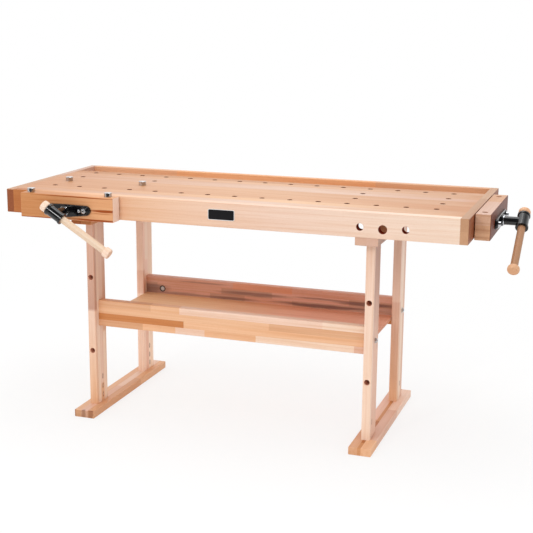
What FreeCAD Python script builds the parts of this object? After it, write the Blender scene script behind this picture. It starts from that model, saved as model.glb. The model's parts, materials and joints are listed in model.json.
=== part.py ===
import FreeCAD, Part
import math
import os

# A joiner's bench: a laminated top with a tool tray behind it, four posts on two feet,
# a low shelf between them, a front vise at the left and a tail vise on the right end.
# The bench stands on z = 0. Its top runs along X and its front faces -Y.

V = FreeCAD.Vector
X, Y, Z = V(1, 0, 0), V(0, 1, 0), V(0, 0, 1)

# ---------------------------------------------------------------- driving dimensions, mm
# worktop
top_length = 1700.0          # over both end caps
top_depth = 680.0            # front of the apron to the back of the back rail
work_height = 850.0          # floor to the face of the top
skirt_height = 86.0          # apron, end caps and back rail
slab_thickness = 30.0
apron_thickness = 32.0
cap_thickness = 28.0
back_rail_thickness = 30.0

# tool tray behind the slab
tray_width = 125.0
tray_depth = 60.0
tray_floor_thickness = 12.0
tray_rail_thickness = 20.0
tray_cleat_width = 15.0
tray_cleat_height = 12.0

# dog holes: two long rows, and two more holes between them in four of the columns
dog_hole_radius = 10.0
dog_first_x = 121.0          # left end of the top to the first column
dog_pitch = 103.3
dog_columns = 15
dog_front_row_y = 148.0
dog_row_gap = 335.0
middle_columns = (0, 3, 11, 14)

# leg frames
leg_left_x = 303.0
leg_right_x = 1365.0
foot_width = 80.0
foot_height = 28.0
foot_front_y = -14.0
foot_length = 664.0
bearer_height = 28.0
bearer_setback = 4.0         # bearer ends behind the apron and back rail faces
post_width = 30.0            # along X
post_depth = 87.0            # along Y
post_front_y = 67.0          # front face of the front posts
post_rear_y = 495.5          # front face of the rear posts
tenon_thickness = 14.0
tenon_width = 58.0
tenon_length = 18.0
peg_hole_radius = 10.0
peg_hole_low_z = 240.0
peg_hole_spacing = 284.0

# shelf
shelf_rail_thickness = 30.0
shelf_rail_height = 100.0
shelf_rail_bottom_z = 332.0
shelf_thickness = 10.0
shelf_cleat_width = 20.0
shelf_cleat_height = 20.0    # the board's underside stands this far above the rails' lower edges
shelf_end_gap = 1.5          # board end to post

# bolts and barrel nuts that draw the shelf rails to the posts
rail_bolt_radius = 4.0
rail_bolt_head_radius = 8.0
rail_bolt_head_height = 5.5
rail_bolt_socket = 7.0       # across the flats of the hexagon socket
rail_washer_radius = 10.5
rail_washer_thickness = 2.0
barrel_nut_radius = 13.0
barrel_nut_length = 24.0
barrel_nut_distance = 72.0   # end of the rail to the nut's axis

# screws that hold the top on the bearers
bearer_screw_radius = 3.5
bearer_screw_head_radius = 7.0
bearer_screw_head_height = 5.0
bearer_screw_length = 40.0
screw_tip_radius = 0.3       # blunt end of every wood screw

# blank name plate on the apron
name_plate_length = 98.0
name_plate_height = 38.0
name_plate_thickness = 2.0
name_plate_rim = 1.6
name_plate_corner = 6.0
name_plate_drop = 42.0       # face of the top to the plate's middle

# vises: what both share
jaw_gap = 2.5                # jaw to bench, at rest
jaw_thickness = 52.0
jaw_height = 88.0
vise_travel = 150.0
spindle_drop = 54.0          # face of the top to the spindle's axis
guide_rise = 4.0             # guide rods stand this far above the spindle
guide_radius = 10.0
guide_wall_hole_radius = 12.5
spindle_wall_hole_radius = 15.0
journal_radius = 12.0        # plain part of the spindle, through the jaw
thread_radius = 11.0
thread_root_radius = 9.0
thread_pitch = 5.0
plate_thickness = 8.0
plate_middle_radius = 23.5
plate_end_radius = 17.5
plate_end_margin = 22.0      # guide rod axis to the tip of the plate
hub_radius = 20.0
hub_height = 6.0
guide_boss_height = 2.5
guide_bolt_head_radius = 9.0
guide_bolt_head_height = 8.0
guide_bolt_socket = 9.0
guide_bolt_radius = 5.0
guide_bolt_grip = 24.0       # bolt length inside the rod
plate_screw_inset = 22.0     # guide rod axis to the plate screw
plate_screw_radius = 3.0
plate_screw_head_radius = 5.5
plate_screw_length = 32.0
washer_radius = 18.0
washer_thickness = 3.0
collar_radius = 19.0
collar_thickness = 11.0
collar_pocket_depth = 14.0
boss_standoff = 79.0         # outer face of the jaw to the axis of the handle
head_shank_radius = 15.0
boss_radius = 19.5
boss_rim_radius = 22.0
boss_rim_width = 7.0
boss_length = 66.0
spindle_seat = 34.0          # spindle inside the shank of its head
carrier_length = 60.0
carrier_plate_thickness = 10.0
carrier_middle_radius = 19.5
carrier_tube_radius = 14.5
nut_length = 50.0
nut_radius = 15.5
carrier_screw_radius = 3.0
carrier_screw_head_radius = 6.0
carrier_screw_length = 24.0
carrier_screw_inset = 24.0   # guide rod axis to the outer carrier screw
carrier_screw_middle = 27.0  # spindle axis to the inner carrier screw

# vises: what differs
front_jaw_length = 370.0
front_guide_offset = 77.0    # spindle to each guide rod
tail_jaw_length = 420.0
tail_guide_offset = 98.0
spare_vise_from_right = 281.0   # right end of the top to the spare spindle hole

# sliding handle
handle_slope = 32.0          # degrees below level at rest
handle_bar_radius = 13.0
handle_bar_length = 257.0    # between the knobs
handle_slack = 1.0           # upper knob to the boss, at rest
knob_length = 24.0
front_knob_radius = 19.0
front_knob_round = 5.0
tail_knob_radius = 20.5
tail_knob_round = 10.0
knob_pin_radius = 8.0
knob_pin_length = 14.0

# bench dogs
dog_head_radius = 14.0
dog_head_height = 15.0
dog_shank_length = 70.0

# fits and edges
running_fit = 0.05           # radial, for what turns or slides on metal
dog_fit = 0.09               # radial, dog in its hole
handle_fit = 1.0             # radial, wooden bar in its iron boss
wood_fit = 0.1               # screws, tenons and bushes in their holes
axial_gap = 0.3              # between faces of pieces that turn on each other
board_edge = 1.5             # chamfer on exposed board edges
iron_edge = 2.0              # rounding on the castings
steel_edge = 1.0
hole_rim = 0.5               # countersink at the dog holes

# ---------------------------------------------------------------- places that follow
skirt_bottom = work_height - skirt_height
slab_bottom = work_height - slab_thickness
inner_left = cap_thickness
inner_right = top_length - cap_thickness
tray_front_y = top_depth - back_rail_thickness - tray_width
tray_back_y = top_depth - back_rail_thickness
tray_floor_z = work_height - tray_depth
bearer_bottom = skirt_bottom - bearer_height
post_lines = {"front": post_front_y, "rear": post_rear_y}
leg_lines = {"left": leg_left_x, "right": leg_right_x}
rail_left = leg_left_x + post_width / 2
rail_right = leg_right_x - post_width / 2
shelf_z = shelf_rail_bottom_z + shelf_cleat_height
bolt_z = shelf_rail_bottom_z + shelf_rail_height / 2
spindle_z = work_height - spindle_drop
jaw_outer = -jaw_gap - jaw_thickness
front_vise_x = dog_first_x + 1.5 * dog_pitch      # midway between columns 0 and 3
tail_vise_y = dog_front_row_y + dog_row_gap / 2   # midway between the two rows
spare_vise_x = top_length - spare_vise_from_right
front_reach = -jaw_outer + boss_standoff + max(boss_rim_radius, front_knob_radius)
tail_reach = -jaw_outer + boss_standoff + max(boss_rim_radius, tail_knob_radius)

# The origin is on the floor, under the middle of everything: top, feet and closed vises.
origin = V((top_length + tail_reach) / 2, (top_depth - front_reach) / 2, 0)

nodes = {}


# ---------------------------------------------------------------- shapes
def box(x0, x1, y0, y1, z0, z1):
    return Part.makeBox(x1 - x0, y1 - y0, z1 - z0, V(x0, y0, z0))


def bar(radius, start, axis, length):
    return Part.makeCylinder(radius, length, start, axis)


def eased(board, edge, seams=()):
    """Chamfers a board's edges, apart from those in the seam planes, given as (axis, place)."""
    def in_seam(e):
        return any(all(abs(getattr(v.Point, a) - at) < 1e-6 for v in e.Vertexes) for a, at in seams)
    return board.makeChamfer(edge, [e for e in board.Edges if not in_seam(e)])


def cut_all(shape, tools):
    return shape.cut(Part.makeCompound(list(tools)))


def rounded_rect(width, height, corner, thickness):
    """A plate in the XZ plane, centred, from y = 0 back to -thickness."""
    plate = Part.makeBox(width, thickness, height, V(-width / 2, -thickness, -height / 2))
    uprights = [e for e in plate.Edges if abs(e.Vertexes[0].Y - e.Vertexes[1].Y) > thickness / 2]
    return plate.makeFillet(corner, uprights)


def strap(middle_radius, end_radius, reach, rise, y0, thickness):
    """A casting's outline in the XZ plane: a round middle that tapers to a round end on each side."""
    def half(side):
        end_x = side * reach
        distance = math.hypot(end_x, rise)
        along = math.atan2(rise, end_x)
        lean = math.acos((middle_radius - end_radius) / distance)

        def on(cx, cz, radius, angle):
            return V(cx + radius * math.cos(angle), y0, cz + radius * math.sin(angle))
        upper, lower = along + lean, along - lean
        arc_end = Part.Arc(on(end_x, rise, end_radius, lower), on(end_x, rise, end_radius, along),
                           on(end_x, rise, end_radius, upper)).toShape()
        arc_middle = Part.Arc(on(0, 0, middle_radius, upper), on(0, 0, middle_radius, along + math.pi),
                              on(0, 0, middle_radius, lower)).toShape()
        edges = [arc_end, arc_middle]
        for angle in (upper, lower):
            edges.append(Part.makeLine(on(0, 0, middle_radius, angle),
                                       on(end_x, rise, end_radius, angle)))
        return Part.Face(Part.Wire(Part.__sortEdges__(edges))).extrude(V(0, thickness, 0))
    return half(1).fuse(half(-1)).removeSplitter()


def round_face_edges(shape, y, radius):
    """Rounds the edges that lie in the plane y."""
    rim = [e for e in shape.Edges if all(abs(v.Y - y) < 1e-6 for v in e.Vertexes)]
    return shape.makeFillet(radius, rim)


def turned(profile, start, axis):
    """A solid of revolution: profile holds (distance along the axis, radius) points."""
    points = [V(r, 0, d) for d, r in profile]
    first, last = profile[0], profile[-1]
    points = [V(0, 0, first[0])] + points + [V(0, 0, last[0])]
    face = Part.Face(Part.makePolygon(points + [points[0]]))
    solid = face.revolve(V(0, 0, 0), Z, 360)
    solid.Placement = FreeCAD.Placement(start, FreeCAD.Rotation(Z, axis))
    return solid


def ring(outer, inner, start, axis, length):
    return bar(outer, start, axis, length).cut(bar(inner, start - axis, axis, length + 2))


def hexagon(across_flats, start, axis, depth):
    corners = [V(across_flats / math.sqrt(3) * math.cos(math.radians(a)),
                 across_flats / math.sqrt(3) * math.sin(math.radians(a)), 0) for a in range(0, 361, 60)]
    prism = Part.Face(Part.makePolygon(corners)).extrude(Z * depth)
    prism.Placement = FreeCAD.Placement(start, FreeCAD.Rotation(Z, axis))
    return prism


def cap_screw(seat, axis, head_radius, head_height, socket, radius, length):
    """A socket-head screw: its head stands on the seat, and its shank runs along the axis."""
    head = turned([(0, head_radius), (-head_height + steel_edge, head_radius),
                   (-head_height, head_radius - steel_edge)], seat, axis)
    shank = bar(radius, seat, axis, length)
    return head.fuse(shank).cut(hexagon(socket, seat - axis * head_height, axis, head_height * 0.6))


def pan_screw(seat, axis, head_radius, radius, length):
    """A round-head wood screw with a pointed end."""
    height = head_radius * 0.6
    head = turned([(0, head_radius), (-height * 0.4, head_radius), (-height * 0.8, head_radius * 0.75),
                   (-height, head_radius * 0.35)], seat, axis)
    shank = turned([(0, radius), (length - 2 * radius, radius), (length, screw_tip_radius)], seat, axis)
    return head.fuse(shank)


def put(name, shape):
    """Moves a finished piece from the top's corner to the origin and keeps it."""
    shape = shape.copy()
    shape.translate(-origin)
    nodes[name] = shape


# ---------------------------------------------------------------- dog holes
def dog_column_x(column):
    return dog_first_x + column * dog_pitch


def dog_hole_places():
    for column in range(dog_columns):
        for third in range(4):
            if third in (0, 3) or column in middle_columns:
                yield V(dog_column_x(column), dog_front_row_y + dog_row_gap * third / 3, work_height)


def dog_hole(place, depth):
    """A hole down from the face of the wood, with a small countersink."""
    rim = dog_hole_radius + hole_rim
    return turned([(-1, rim), (0, rim), (hole_rim, dog_hole_radius), (depth + 1, dog_hole_radius)],
                  place, -Z)


# ---------------------------------------------------------------- wall holes for a vise
def vise_wall_holes(guide_offset, wall_thickness):
    """Spindle hole and two guide holes, in the vise's own frame: x along the jaw, y into the bench."""
    depth = wall_thickness + 2
    yield bar(spindle_wall_hole_radius, V(0, -1, 0), Y, depth)
    for side in (-1, 1):
        yield bar(guide_wall_hole_radius, V(side * guide_offset, -1, guide_rise), Y, depth)


def front_place(shape, x=None):
    """Vise frame to bench, for a vise on the apron."""
    shape = shape.copy()
    shape.translate(V(front_vise_x if x is None else x, 0, spindle_z))
    return shape


def tail_place(shape):
    """Vise frame to bench, for the vise on the right end."""
    shape = shape.copy()
    shape.rotate(V(0, 0, 0), Z, 90)
    shape.translate(V(top_length, tail_vise_y, spindle_z))
    return shape


# ---------------------------------------------------------------- worktop and tray
def build_worktop():
    slab = box(inner_left, inner_right, apron_thickness, tray_front_y, slab_bottom, work_height)
    rear_edge = [e for e in slab.Edges
                 if all(abs(v.Y - tray_front_y) + abs(v.Z - work_height) < 1e-6 for v in e.Vertexes)]
    slab = slab.makeChamfer(board_edge, rear_edge)
    put("worktop_slab", cut_all(slab, (dog_hole(p, slab_thickness) for p in dog_hole_places())))

    apron = box(inner_left, inner_right, 0, apron_thickness, skirt_bottom, work_height)
    apron = eased(apron, board_edge, [("x", inner_left), ("x", inner_right), ("y", apron_thickness)])
    tools = []
    for x in (front_vise_x, spare_vise_x):
        tools += [front_place(t, x) for t in vise_wall_holes(front_guide_offset, apron_thickness)]
    tools += [front_place(t) for t in carrier_screw_holes(front_guide_offset, apron_thickness)]
    tools += bearer_screws(wood_fit)
    put("front_apron", cut_all(apron, tools))

    left_cap = box(0, inner_left, 0, top_depth, skirt_bottom, work_height)
    put("end_cap_left", eased(left_cap, board_edge, [("x", inner_left)]))
    right_cap = box(inner_right, top_length, 0, top_depth, skirt_bottom, work_height)
    right_cap = eased(right_cap, board_edge, [("x", inner_right)])
    tools = [tail_place(t) for t in vise_wall_holes(tail_guide_offset, cap_thickness)]
    tools += [tail_place(t) for t in carrier_screw_holes(tail_guide_offset, cap_thickness)]
    put("end_cap_right", cut_all(right_cap, tools))

    back = box(inner_left, inner_right, tray_back_y, top_depth, skirt_bottom, work_height)
    back = eased(back, board_edge, [("x", inner_left), ("x", inner_right)])
    put("back_rail", cut_all(back, bearer_screws(wood_fit)))
    put("tray_inner_rail", box(inner_left, inner_right, tray_front_y - tray_rail_thickness,
                               tray_front_y, skirt_bottom, slab_bottom))
    floor_bottom = tray_floor_z - tray_floor_thickness
    put("tray_floor", box(inner_left, inner_right, tray_front_y, tray_back_y, floor_bottom, tray_floor_z))
    cleats = [box(inner_left, inner_right, y, y + tray_cleat_width,
                  floor_bottom - tray_cleat_height, floor_bottom)
              for y in (tray_front_y, tray_back_y - tray_cleat_width)]
    put("tray_cleats", Part.makeCompound(cleats))


def build_name_plate():
    place = V(top_length / 2, 0, work_height - name_plate_drop)
    inner_length = name_plate_length - 2 * name_plate_rim
    inner_height = name_plate_height - 2 * name_plate_rim
    outer = rounded_rect(name_plate_length, name_plate_height, name_plate_corner, name_plate_thickness)
    inner = rounded_rect(inner_length, inner_height, name_plate_corner - name_plate_rim,
                         name_plate_thickness)
    rim = outer.cut(inner)
    face = rounded_rect(inner_length, inner_height, name_plate_corner - name_plate_rim,
                        name_plate_thickness * 0.7)
    for name, shape in (("name_plate", face), ("name_plate_rim", rim)):
        shape.translate(place)
        put(name, shape)


# ---------------------------------------------------------------- leg frames
def post_tenons(x, y, fit):
    """The tenons at a post's two ends, or with a fit, the mortises that take them."""
    half_t, half_w = tenon_thickness / 2 + fit, tenon_width / 2 + fit
    middle_y = y + post_depth / 2
    for z0, z1 in ((foot_height - tenon_length - fit, foot_height),
                   (bearer_bottom, bearer_bottom + tenon_length + fit)):
        yield box(x - half_t, x + half_t, middle_y - half_w, middle_y + half_w, z0, z1)


def bearer_screws(fit=0.0):
    """Countersunk screws up through each bearer into the apron and the back rail."""
    screws = []
    for x in leg_lines.values():
        for side in (-1, 1):
            for y in (apron_thickness / 2 + bearer_setback / 2, top_depth - back_rail_thickness / 2):
                seat = V(x + side * foot_width / 4, y, bearer_bottom)
                head = bearer_screw_head_radius + fit
                shank = bearer_screw_radius + fit
                point = bearer_screw_length - 2 * bearer_screw_radius
                screws.append(turned([(0, head), (bearer_screw_head_height, shank), (point, shank),
                                      (bearer_screw_length + fit, screw_tip_radius + fit)], seat, Z))
    return screws


def build_leg_frames():
    foot_back_y = foot_front_y + foot_length
    for side, x in leg_lines.items():
        x0, x1 = x - foot_width / 2, x + foot_width / 2
        mortises = [m for y in post_lines.values() for m in post_tenons(x, y, wood_fit)]
        foot = eased(box(x0, x1, foot_front_y, foot_back_y, 0, foot_height), board_edge)
        put("foot_" + side, cut_all(foot, mortises))
        bearer = box(x0, x1, bearer_setback, top_depth - bearer_setback, bearer_bottom, skirt_bottom)
        bearer = eased(bearer, board_edge, [("z", skirt_bottom)])
        put("bearer_" + side, cut_all(bearer, mortises + bearer_screws(wood_fit)))
        for row, y in post_lines.items():
            post = box(x - post_width / 2, x + post_width / 2, y, y + post_depth,
                       foot_height, bearer_bottom)
            post = eased(post, board_edge, [("z", foot_height), ("z", bearer_bottom)])
            for tenon in post_tenons(x, y, 0):
                post = post.fuse(tenon)
            tools = rail_bolt_holes(side, row)
            if row == "front":
                tools += [bar(peg_hole_radius, V(x, y - 1, peg_hole_low_z + i * peg_hole_spacing),
                              Y, post_depth + 2) for i in range(2)]
            put("post_%s_%s" % (row, side), cut_all(post, tools))
    put("bearer_screws", Part.makeCompound(bearer_screws()))


# ---------------------------------------------------------------- shelf
def rail_bolt_line(side, row):
    """Seat of a rail bolt's washer on the post's outer face, and the way into the rail."""
    inward = 1 if side == "left" else -1
    x = leg_lines[side] - inward * post_width / 2
    return V(x, post_lines[row] + post_depth / 2, bolt_z), X * inward


def rail_bolt_holes(side, row):
    seat, axis = rail_bolt_line(side, row)
    length = post_width + barrel_nut_distance + 3 * barrel_nut_radius
    return [bar(rail_bolt_radius + wood_fit, seat - axis, axis, length)]


def barrel_nut_place(side, row):
    """Axis of a barrel nut, from the inner face of its rail, and the way into the rail."""
    seat, axis = rail_bolt_line(side, row)
    outward = -Y if row == "front" else Y
    middle = seat + axis * (post_width + barrel_nut_distance)
    return middle - outward * (shelf_rail_thickness / 2), outward


def build_shelf():
    board_y = {}
    cleats, bolts, washers, nuts = [], [], [], []
    for row, y in post_lines.items():
        middle = y + post_depth / 2
        y0, y1 = middle - shelf_rail_thickness / 2, middle + shelf_rail_thickness / 2
        board_y[row] = y1 if row == "front" else y0
        rail = box(rail_left, rail_right, y0, y1, shelf_rail_bottom_z,
                   shelf_rail_bottom_z + shelf_rail_height)
        rail = eased(rail, board_edge, [("x", rail_left), ("x", rail_right)])
        tools = []
        for side in leg_lines:
            seat, axis = rail_bolt_line(side, row)
            tools += rail_bolt_holes(side, row)
            nut_start, nut_axis = barrel_nut_place(side, row)
            tools.append(bar(barrel_nut_radius + wood_fit, nut_start - nut_axis, nut_axis,
                             barrel_nut_length + 3))
            nut = bar(barrel_nut_radius, nut_start + nut_axis, nut_axis, barrel_nut_length)
            nuts.append(cut_all(nut, rail_bolt_holes(side, row)))
            washers.append(ring(rail_washer_radius, rail_bolt_radius + wood_fit,
                                seat - axis * rail_washer_thickness, axis, rail_washer_thickness))
            bolts.append(cap_screw(seat - axis * rail_washer_thickness, axis, rail_bolt_head_radius,
                                   rail_bolt_head_height, rail_bolt_socket, rail_bolt_radius,
                                   post_width + barrel_nut_distance + barrel_nut_radius))
        put("shelf_rail_" + row, cut_all(rail, tools))
        cleat_y = y1 if row == "front" else y0 - shelf_cleat_width
        cleats.append(box(rail_left + shelf_end_gap, rail_right - shelf_end_gap, cleat_y,
                          cleat_y + shelf_cleat_width, shelf_rail_bottom_z, shelf_z))
    board = box(rail_left + shelf_end_gap, rail_right - shelf_end_gap, board_y["front"],
                board_y["rear"], shelf_z, shelf_z + shelf_thickness)
    put("shelf_board", board)
    put("shelf_cleats", Part.makeCompound(cleats))
    put("rail_bolts", Part.makeCompound(bolts))
    put("rail_washers", Part.makeCompound(washers))
    put("barrel_nuts", Part.makeCompound(nuts))


# ---------------------------------------------------------------- vises
# Each vise is made in its own frame: x along the jaw, y into the bench from the face that the
# jaw closes on, z up from the spindle's axis.
def carrier_screw_places(guide_offset):
    for side in (-1, 1):
        yield V(side * (guide_offset - carrier_screw_inset), 0, guide_rise / 2)
        yield V(side * carrier_screw_middle, 0, 0)


def carrier_screws(guide_offset, wall_thickness, fit=0.0):
    """Screws from the carrier's inner face out into the wall."""
    for place in carrier_screw_places(guide_offset):
        seat = place + Y * (wall_thickness + carrier_plate_thickness)
        yield pan_screw(seat, -Y, carrier_screw_head_radius, carrier_screw_radius + fit,
                        carrier_screw_length + fit)


def carrier_screw_holes(guide_offset, wall_thickness):
    return list(carrier_screws(guide_offset, wall_thickness, wood_fit))


def build_jaw(name, place, length, guide_offset, dog_offset):
    top = spindle_drop
    jaw = box(-length / 2, length / 2, jaw_outer, -jaw_gap, top - jaw_height, top)
    jaw = eased(jaw, board_edge)
    tools = [bar(journal_radius + 1.5, V(0, jaw_outer - 1, 0), Y, jaw_thickness + 2),
             bar(collar_radius + 1.5, V(0, -jaw_gap - collar_pocket_depth, 0), Y,
                 collar_pocket_depth + 1)]
    for side in (-1, 1):
        tools.append(bar(guide_radius + wood_fit, V(side * guide_offset, jaw_outer - 1, guide_rise),
                         Y, jaw_thickness + 2))
        tools.append(dog_hole(V(side * dog_offset, -jaw_gap - jaw_thickness / 2, top), jaw_height))
    tools += plate_screws(guide_offset, wood_fit)
    put(name + "_jaw", place(cut_all(jaw, tools)))


def plate_screws(guide_offset, fit=0.0):
    """Screws through the jaw plate into the jaw."""
    for side in (-1, 1):
        seat = V(side * (guide_offset - plate_screw_inset), jaw_outer - plate_thickness, guide_rise / 2)
        yield pan_screw(seat, Y, plate_screw_head_radius, plate_screw_radius + fit,
                        plate_screw_length + fit)


def build_jaw_plate(name, place, guide_offset):
    face_y = jaw_outer - plate_thickness
    plate = strap(plate_middle_radius, plate_end_radius,
                  guide_offset + plate_end_margin - plate_end_radius, guide_rise, face_y,
                  plate_thickness)
    plate = round_face_edges(plate, face_y, iron_edge)
    hub_y = face_y - hub_height
    hub = turned([(0, hub_radius - iron_edge), (iron_edge, hub_radius),
                  (hub_height + plate_thickness / 2, hub_radius)], V(0, hub_y, 0), Y)
    plate = plate.fuse(hub)
    guide_face_y = face_y - guide_boss_height
    tools = [bar(journal_radius + running_fit, V(0, hub_y - 1, 0), Y, jaw_thickness)]
    bolts = []
    for side in (-1, 1):
        guide = V(side * guide_offset, guide_face_y, guide_rise)
        boss = turned([(0, plate_end_radius - iron_edge - steel_edge),
                       (steel_edge, plate_end_radius - iron_edge),
                       (guide_boss_height + plate_thickness / 2, plate_end_radius - iron_edge)], guide, Y)
        plate = plate.fuse(boss)
        tools.append(bar(guide_bolt_radius + wood_fit, guide - Y, Y, jaw_thickness))
        bolts.append(cap_screw(guide, Y, guide_bolt_head_radius, guide_bolt_head_height,
                               guide_bolt_socket, guide_bolt_radius,
                               guide_boss_height + plate_thickness + guide_bolt_grip))
    tools += plate_screws(guide_offset, wood_fit)
    put(name + "_jaw_plate", place(cut_all(plate, tools)))
    put(name + "_guide_bolts", place(Part.makeCompound(bolts)))
    put(name + "_plate_screws", place(Part.makeCompound(list(plate_screws(guide_offset)))))


def build_guide_rods(name, place, guide_offset, wall_thickness):
    """Rods fixed in the jaw, long enough to stay in the carrier when the jaw is fully open."""
    length = wall_thickness + carrier_length + vise_travel - jaw_outer
    rods = []
    for side in (-1, 1):
        start = V(side * guide_offset, jaw_outer, guide_rise)
        rod = turned([(0, guide_radius), (length - steel_edge, guide_radius),
                      (length, guide_radius - steel_edge)], start, Y)
        rods.append(rod.cut(bar(guide_bolt_radius + wood_fit, start - Y, Y, guide_bolt_grip + 2)))
    put(name + "_guide_rods", place(Part.makeCompound(rods)))


def thread_profile(start, end):
    """Trapezoidal rings at the thread's pitch, from start to end along the spindle."""
    flank = (thread_radius - thread_root_radius) * math.tan(math.radians(15))
    crest = thread_pitch / 2 - flank
    points = []
    for turn in range(int((end - start) / thread_pitch)):
        d = start + turn * thread_pitch
        points += [(d, thread_radius), (d + crest, thread_radius), (d + crest + flank, thread_root_radius),
                   (d + thread_pitch - flank, thread_root_radius)]
    return points + [(end - steel_edge, thread_radius), (end, thread_radius - steel_edge)]


def build_screw(name, place, wall_thickness, slope):
    """The spindle with all that turns with it."""
    hub_face = jaw_outer - plate_thickness - hub_height
    washer_y = hub_face - axial_gap - washer_thickness
    tip_y = wall_thickness + nut_length + vise_travel
    start_y = washer_y - spindle_seat
    journal_end = -jaw_gap - start_y
    profile = [(0, journal_radius), (journal_end, journal_radius)]
    profile += thread_profile(journal_end + steel_edge, tip_y - start_y)
    put(name + "_spindle", place(turned(profile, V(0, start_y, 0), Y)))
    put(name + "_thrust_washer", place(ring(washer_radius, journal_radius + running_fit,
                                            V(0, washer_y, 0), Y, washer_thickness)))
    pocket_y = -jaw_gap - collar_pocket_depth
    put(name + "_retaining_collar", place(ring(collar_radius, journal_radius + running_fit,
                                               V(0, pocket_y + axial_gap, 0), Y, collar_thickness)))

    boss_y = jaw_outer - boss_standoff
    along = V(math.cos(slope), 0, math.sin(slope))
    boss_start = V(0, boss_y, 0) - along * (boss_length / 2)
    rim_in = boss_rim_width + boss_rim_radius - boss_radius
    boss = turned([(0, boss_rim_radius - steel_edge), (steel_edge, boss_rim_radius),
                   (boss_rim_width, boss_rim_radius), (rim_in, boss_radius),
                   (boss_length - rim_in, boss_radius), (boss_length - boss_rim_width, boss_rim_radius),
                   (boss_length - steel_edge, boss_rim_radius),
                   (boss_length, boss_rim_radius - steel_edge)], boss_start, along)
    shank_length = washer_y - boss_y
    shank = turned([(0, head_shank_radius), (shank_length - steel_edge, head_shank_radius),
                    (shank_length, head_shank_radius - steel_edge)], V(0, boss_y, 0), Y)
    head = boss.fuse(shank)
    head = head.cut(bar(journal_radius + running_fit, V(0, start_y, 0), Y, spindle_seat + 1))
    head = head.cut(bar(handle_bar_radius + handle_fit, boss_start - along, along, boss_length + 2))
    put(name + "_spindle_head", place(head))


def build_handle(name, place, slope, knob_radius, knob_round):
    """A bar that slides through the boss, with a knob on each end."""
    along = V(math.cos(slope), 0, math.sin(slope))
    middle = V(0, jaw_outer - boss_standoff, 0)
    upper = middle - along * (boss_length / 2 + handle_slack)
    lower = upper + along * handle_bar_length
    stick = bar(handle_bar_radius, upper, along, handle_bar_length)
    pins = bar(knob_pin_radius, upper - along * knob_pin_length, along,
               handle_bar_length + 2 * knob_pin_length)
    put(name + "_handle_bar", place(stick.fuse(pins)))
    knobs = []
    for seat, axis in ((upper, -along), (lower, along)):
        knob = bar(knob_radius, seat, axis, knob_length)
        knob = knob.makeFillet(knob_round, [e for e in knob.Edges if len(e.Vertexes) == 1])
        knobs.append(knob.cut(bar(knob_pin_radius + wood_fit, seat - axis, axis,
                                  knob_pin_length + 1 + wood_fit)))
    put(name + "_handle_knobs", place(Part.makeCompound(knobs)))


def build_carrier(name, place, guide_offset, wall_thickness):
    """The casting inside the bench that holds the nut and guides the rods."""
    plate = strap(carrier_middle_radius, carrier_tube_radius, guide_offset, guide_rise,
                  wall_thickness, carrier_plate_thickness)
    carrier = plate.fuse(bar(carrier_middle_radius, V(0, wall_thickness, 0), Y, nut_length))
    tools = [bar(nut_radius + wood_fit, V(0, wall_thickness - 1, 0), Y, nut_length + 2)]
    for side in (-1, 1):
        start = V(side * guide_offset, wall_thickness, guide_rise)
        carrier = carrier.fuse(bar(carrier_tube_radius, start, Y, carrier_length))
        tools.append(bar(guide_radius + running_fit, start - Y, Y, carrier_length + 2))
    tools += carrier_screw_holes(guide_offset, wall_thickness)
    put(name + "_vise_carrier", place(cut_all(carrier, tools)))
    put(name + "_spindle_nut", place(ring(nut_radius, thread_radius + running_fit,
                                          V(0, wall_thickness, 0), Y, nut_length)))
    screws = list(carrier_screws(guide_offset, wall_thickness))
    put(name + "_carrier_screws", place(Part.makeCompound(screws)))


def build_vise(name, place, jaw_length, guide_offset, dog_offset, wall_thickness, slope_degrees,
               knob_radius, knob_round):
    slope = math.radians(slope_degrees)
    build_jaw(name, place, jaw_length, guide_offset, dog_offset)
    build_jaw_plate(name, place, guide_offset)
    build_guide_rods(name, place, guide_offset, wall_thickness)
    build_screw(name, place, wall_thickness, slope)
    build_handle(name, place, slope, knob_radius, knob_round)
    build_carrier(name, place, guide_offset, wall_thickness)


# ---------------------------------------------------------------- bench dogs
def build_dog(name, x, y):
    """A round steel dog: its head rests on the wood, and its shank fills the hole."""
    dog = turned([(-dog_head_height, dog_head_radius - steel_edge),
                  (-dog_head_height + steel_edge, dog_head_radius), (0, dog_head_radius),
                  (0, dog_hole_radius - dog_fit), (dog_shank_length - steel_edge, dog_hole_radius - dog_fit),
                  (dog_shank_length, dog_hole_radius - dog_fit - steel_edge)],
                 V(x, y, work_height), -Z)
    put(name, dog)


def build_dogs():
    jaw_line_y = -jaw_gap - jaw_thickness / 2
    for side, column in (("left", 0), ("right", 3)):
        x = dog_column_x(column)
        build_dog("top_dog_" + side, x, dog_front_row_y + dog_row_gap / 3)
        build_dog("jaw_dog_" + side, x, jaw_line_y)


# ---------------------------------------------------------------- assembly
def main():
    build_worktop()
    build_name_plate()
    build_leg_frames()
    build_shelf()
    build_vise("front", front_place, front_jaw_length, front_guide_offset, 1.5 * dog_pitch,
               apron_thickness, -handle_slope, front_knob_radius, front_knob_round)
    build_vise("tail", tail_place, tail_jaw_length, tail_guide_offset, dog_row_gap / 2,
               cap_thickness, 180 + handle_slope, tail_knob_radius, tail_knob_round)
    build_dogs()
    os.makedirs("parts", exist_ok=True)
    for name, shape in nodes.items():
        shape.exportStep("parts/%s.step" % name)
    print(len(nodes), "nodes")


main()
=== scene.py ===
import json
import math
import random

import bmesh
import bpy
from mathutils import Matrix, Vector


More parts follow.
